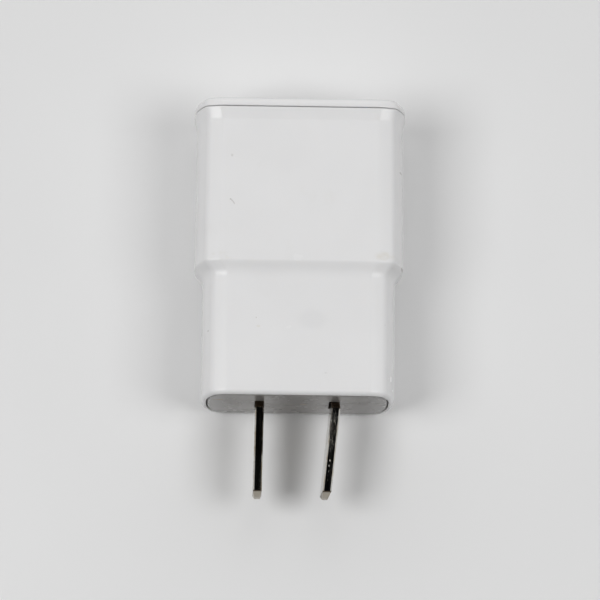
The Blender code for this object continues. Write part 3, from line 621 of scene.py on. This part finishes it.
def plate_grey():
    """Semi-gloss moulding, greyer than the shell, with a faint grain, and painted shade and reflection
    darkening it between the blades.
    """
    made = Graph("plate_moulding")
    made.set(IOR=1.5)
    broad = made.noise(160, 3)
    colour = made.mix(made.span(broad, 0.35, 0.7), (0.40, 0.395, 0.39), (0.37, 0.365, 0.36))
    # Painted shade and reflection: the colour of the plate's middle, between the blades, is darkened
    # towards a dark brown-grey.
    middle = made.near((0.4 * MM, 0, 0), 6.4 * MM, 1.2, (0.75, 1, 0.4))
    colour = made.mix(made.maths("MULTIPLY", middle, 0.6), colour, (0.15, 0.135, 0.12))
    for point, radius, squash, strength, tone in (
        ((-13.34 * MM, 0.05 * MM, 4.0 * MM), 0.35 * MM, (0.6, 1, 1), 0.6, (0.30, 0.19, 0.11)),
        ((-3.71 * MM, 0.05 * MM, 0.6 * MM), 1.2 * MM, (0.5, 1, 1.4), 0.5, (0.20, 0.19, 0.18)),
        ((1.0 * MM, 0.05 * MM, 0.5 * MM), 0.35 * MM, (1, 1, 1), 0.6, (0.50, 0.38, 0.24)),
    ):
        patch = made.near(point, radius, 1.0, squash)
        share = made.maths("MULTIPLY", patch, made.span(made.noise(700, 1), 0.35, 0.6, 0.2, strength))
        colour = made.mix(share, colour, tone)
    made.colour(colour)
    grain = made.noise(240, 2, 0.5)
    made.roughness(made.span(grain, 0.3, 0.7, 0.22, 0.30))
    made.normal(made.bump(grain, 0.0003 * MM, 0.5))
    return made.material


def nickel(name, worn):
    """Bright nickel plate with lengthwise scratches and small pits, painted shade darkening its root, and
    dull at its tip.

    A worn blade is also scuffed near its root and along its sides, and has a row of dents.
    """
    made = Graph(name)
    made.set(Metallic=1.0)
    split = made.tree.nodes.new("ShaderNodeSeparateXYZ")
    made.join(made.place, split.inputs[0])
    along = split.outputs["Y"]
    streaks = made.noise(1500, 4, 0.6, vector=made.stretch((1, 0.03, 1)))
    fine = made.noise(5200, 3, 0.6, vector=made.stretch((1, 0.02, 1)))
    tarnish = made.noise(420, 4, 0.6)
    colour = made.mix(made.span(tarnish, 0.4, 0.68), (0.72, 0.70, 0.66), (0.50, 0.44, 0.34))
    pits = made.span(made.spots(1500), 0.1, 0.2, 1.0, 0.0)
    share = made.maths("MULTIPLY", pits, made.span(made.noise(300, 2), 0.5, 0.62, 0, 0.8))
    colour = made.mix(share, colour, (0.16, 0.12, 0.08))
    rough = made.span(streaks, 0.4, 0.72, 0.04, 0.13)
    if worn:
        scuffs = made.noise(6500, 4, 0.75, vector=made.stretch((1, 0.16, 1), turn=(0, 0, 0.22)))
        scuffed = made.span(along, -9.4 * MM, -6.5 * MM, 0, 1, smooth=True)
        scuffed = made.maths("MULTIPLY", scuffed, made.span(scuffs, 0.50, 0.68, 0, 0.26))
        rough = made.maths("ADD", rough, scuffed)
        for out, shift, depth in (
            (9.9, 0.12, 0.24),
            (10.8, 0.05, 0.22),
            (11.7, 0.08, 0.18),
            (12.5, -0.02, 0.10),
            (13.2, 0.06, 0.12),
        ):
            across = BLADE_SPACING / 2 - out * MM * math.tan(RIGHT_BLADE_LEAN) + shift * MM
            dent = made.near((across, -out * MM, BLADE_WIDTH / 2), 0.06 * MM, 0.9, (1.1, 0.5, 1))
            rough = made.maths("ADD", rough, made.maths("MULTIPLY", dent, depth))
        drawn = made.noise(1900, 3, 0.7, vector=made.stretch((0.2, 0.12, 1)))
        side = made.span(made.noise(620, 2, vector=made.stretch((1, 0.3, 1))), 0.4, 0.6, 0.35, 0.95)
        side = made.maths("MULTIPLY", side, made.span(drawn, 0.46, 0.58))
        below = made.span(split.outputs["Z"], 2.95 * MM, 3.02 * MM, 1, 0)
        colour = made.mix(made.maths("MULTIPLY", side, below), colour, (0.10, 0.085, 0.065))
    # Painted shade: the blade's colour turns near black at its root, where it meets the plate.
    root = made.span(along, -1.15 * MM, -0.85 * MM, 0, 0.94, smooth=True)
    colour = made.mix(root, colour, (0.075, 0.045, 0.022))
    tip_start = TIP_LENGTH - BLADE_REACH
    tip = made.span(along, tip_start - 0.06 * MM, tip_start + 0.02 * MM, 0.8, 0)
    colour = made.mix(tip, colour, (0.34, 0.30, 0.24))
    rim = made.maths("ABSOLUTE", made.maths("SUBTRACT", along, tip_start - 0.03 * MM))
    colour = made.mix(made.span(rim, 0.07 * MM, 0.13 * MM, 0.95, 0), colour, (0.06, 0.04, 0.025))
    made.colour(colour)
    made.roughness(made.maths("ADD", rough, made.maths("MULTIPLY", tip, 0.3)))
    first = made.bump(streaks, 0.002 * MM)
    made.normal(made.bump(fine, 0.0006 * MM, before=first))
    return made.material


WHITE = white_shell()
PLATE = plate_grey()
NICKEL = nickel("nickel_plate", worn=False)
WORN_NICKEL = nickel("worn_nickel_plate", worn=True)
BLACK = plain("moulded_black", (0.030, 0.030, 0.031), (0.042, 0.041, 0.040), 0.45, 1800)
BRASS = plain("rolled_brass", (0.76, 0.57, 0.27), (0.68, 0.49, 0.22), 0.28, 1500, 1.0, stretch=(1, 0.08, 1))
STEEL = plain("port_steel", (0.64, 0.64, 0.65), (0.55, 0.55, 0.57), 0.24, 1700, 1.0, stretch=(1, 0.05, 1))
GOLD = plain("contact_gold", (0.92, 0.69, 0.31), (0.84, 0.60, 0.26), 0.22, 2600, 1.0, stretch=(1, 0.1, 1))
TONGUE = plain("tongue_white", (0.78, 0.78, 0.76), (0.73, 0.73, 0.71), 0.42, 2200)
MASK = plain("solder_mask", (0.035, 0.20, 0.075), (0.05, 0.27, 0.10), 0.35, 900, relief=0.02 * MM)
FILM = plain("insulating_film", (0.72, 0.72, 0.66), (0.66, 0.66, 0.60), 0.3, 500, relief=0.03 * MM)
ENAMEL = plain("resistor_enamel", (0.20, 0.36, 0.30), (0.16, 0.30, 0.25), 0.45, 1300)
SLEEVE = plain("capacitor_sleeve", (0.035, 0.045, 0.065), (0.05, 0.06, 0.085), 0.3, 1200)
FERRITE = plain("fired_ferrite", (0.055, 0.054, 0.053), (0.085, 0.083, 0.080), 0.6, 2400, relief=0.03 * MM)
COPPER_TONES = ((0.66, 0.30, 0.13), (0.52, 0.21, 0.08))
COPPER = plain("enamelled_copper", *COPPER_TONES, 0.3, 2600, 1.0, stretch=(0.2, 0.2, 1))
TAPE = plain("polyester_tape", (0.82, 0.62, 0.10), (0.74, 0.54, 0.07), 0.3, 800)
LACQUER = plain("dipped_lacquer", (0.06, 0.20, 0.50), (0.05, 0.16, 0.42), 0.35, 1100)
CERAMIC = plain("chip_ceramic", (0.50, 0.39, 0.26), (0.44, 0.33, 0.21), 0.6, 2600)

INNER = {
    "blade_carrier": BLACK,
    "left_blade_contact": BRASS,
    "right_blade_contact": BRASS,
    "main_circuit_board": MASK,
    "insulation_sheet": FILM,
    "fusible_resistor": ENAMEL,
    "input_capacitor_1": SLEEVE,
    "input_capacitor_2": SLEEVE,
    "output_capacitor_1": SLEEVE,
    "output_capacitor_2": SLEEVE,
    "filter_inductor_core": FERRITE,
    "filter_inductor_winding": COPPER,
    "transformer_core_front": FERRITE,
    "transformer_core_rear": FERRITE,
    "transformer_bobbin": BLACK,
    "transformer_winding": TAPE,
    "transformer_tape": TAPE,
    "safety_capacitor": LACQUER,
    "bridge_rectifier": BLACK,
    "controller_chip": BLACK,
    "output_diode": BLACK,
    "optocoupler": BLACK,
    "snubber_resistor": BLACK,
    "snubber_capacitor": CERAMIC,
    "usb_shell": STEEL,
    "usb_tongue": TONGUE,
    "usb_contact_1": GOLD,
    "usb_contact_2": GOLD,
    "usb_contact_3": GOLD,
    "usb_contact_4": GOLD,
}
for node, finish in INNER.items():
    NODES[node].data.materials.clear()
    NODES[node].data.materials.append(finish)

make_housing(WHITE)
make_port_cap(WHITE)
make_blade_plate(PLATE)
make_blade("left_blade_fine", "left_blade", -1, LEFT_BLADE_LEAN, 0.0, NICKEL)
make_blade("right_blade_fine", "right_blade", 1, RIGHT_BLADE_LEAN, RIGHT_BLADE_TWIST, WORN_NICKEL)


# ---------------------------------------------------------------- surface, light and camera

FLOOR_DROP = 0.02 * MM
FLOOR_RADIUS = 3.0
FLOOR_LEVEL = CAD_BOX[0].z - FLOOR_DROP


def make_floor():
    made = bmesh.new()
    bmesh.ops.create_circle(made, cap_ends=True, segments=96, radius=FLOOR_RADIUS)
    mesh = bpy.data.meshes.new("floor")
    made.to_mesh(mesh)
    made.free()
    floor = bpy.data.objects.new("floor", mesh)
    floor.location.z = FLOOR_LEVEL
    bpy.context.scene.collection.objects.link(floor)
    finish = Graph("floor_card")
    broad = finish.noise(14, 3)
    fine = finish.noise(900, 3, 0.6)
    colour = finish.mix(finish.span(broad, 0.35, 0.65), (0.822, 0.822, 0.822), (0.802, 0.802, 0.802))
    finish.colour(colour)
    finish.roughness(finish.span(fine, 0.3, 0.7, 0.5, 0.65))
    finish.normal(finish.bump(fine, 0.02 * MM, 0.6))
    mesh.materials.append(finish.material)


def add_light(name, aim, toward, distance, width, height, power, tint=(1, 1, 1)):
    data = bpy.data.lights.new(name, "AREA")
    data.shape = "RECTANGLE"
    data.size = width
    data.size_y = height
    data.energy = power
    data.color = tint
    light = bpy.data.objects.new(name, data)
    direction = Vector(toward).normalized()
    light.location = Vector(aim) + direction * distance
    light.rotation_euler = direction.to_track_quat("Z", "Y").to_euler()
    bpy.context.scene.collection.objects.link(light)


ROOM_LEAN = 0.85
ROOM_LEVEL = 0.55


def make_world():
    """A pale room that is dark straight above, where the camera is."""
    world = bpy.data.worlds.new("studio")
    bpy.context.scene.world = world
    world.use_nodes = True
    tree = world.node_tree
    back = tree.nodes["Background"]
    place = tree.nodes.new("ShaderNodeTexCoord")
    split = tree.nodes.new("ShaderNodeSeparateXYZ")
    ramp = tree.nodes.new("ShaderNodeValToRGB")
    tree.links.new(place.outputs["Generated"], split.inputs[0])
    tree.links.new(split.outputs["Z"], ramp.inputs["Fac"])
    lean = tree.nodes.new("ShaderNodeMapRange")
    lean.inputs["From Min"].default_value = -1.0
    lean.inputs["To Min"].default_value = ROOM_LEVEL * (1 - ROOM_LEAN)
    lean.inputs["To Max"].default_value = ROOM_LEVEL * (1 + ROOM_LEAN)
    tree.links.new(split.outputs["Y"], lean.inputs["Value"])
    tree.links.new(lean.outputs["Result"], back.inputs["Strength"])
    tree.links.new(ramp.outputs["Color"], back.inputs["Color"])
    stops = ((0.0, 0.90), (0.35, 0.81), (0.62, 0.51), (0.84, 0.27), (0.93, 0.003))
    while len(ramp.color_ramp.elements) < len(stops):
        ramp.color_ramp.elements.new(0.5)
    for element, (at, level) in zip(ramp.color_ramp.elements, stops):
        element.position = at
        element.color = (level, level, level, 1.0)


def make_camera():
    distance = 923.8 * MM
    elevation = math.radians(78.43)
    azimuth = math.radians(-6.51)
    roll = math.radians(7.21)
    focal_pixels = 5471.5
    aim = Vector((0.32 * MM, 18.06 * MM, 0.0))
    away = Vector(
        (
            math.sin(azimuth) * math.cos(elevation),
            -math.cos(azimuth) * math.cos(elevation),
            math.sin(elevation),
        )
    )
    level = (-away).cross(Vector((0, 0, 1))).normalized()
    rise = level.cross(-away)
    right = math.cos(roll) * level + math.sin(roll) * rise
    up = math.cos(roll) * rise - math.sin(roll) * level
    data = bpy.data.cameras.new("camera")
    data.sensor_width = 36.0
    data.lens = data.sensor_width * focal_pixels / 600
    data.clip_start = 0.01
    data.clip_end = 20.0
    camera = bpy.data.objects.new("camera", data)
    turn = Matrix((right, up, away)).transposed().to_4x4()
    camera.matrix_world = Matrix.Translation(aim + away * distance) @ turn
    bpy.context.scene.collection.objects.link(camera)
    bpy.context.scene.camera = camera


make_floor()
MIDDLE = (0, 20 * MM, 0)
LIGHT_DISTANCE = 0.7
add_light("left_softbox", MIDDLE, (-0.57, -0.14, 1.0), LIGHT_DISTANCE, 0.28, 0.31, 1.94)
add_light("right_softbox", MIDDLE, (0.57, -0.14, 1.0), LIGHT_DISTANCE, 0.28, 0.31, 1.49)
add_light("rear_softbox", MIDDLE, (0.02, 0.62, 1.0), LIGHT_DISTANCE, 0.3, 0.45, 0.42)
make_world()
make_camera()
bpy.context.scene.view_settings.view_transform = "Standard"

bpy.context.view_layer.update()
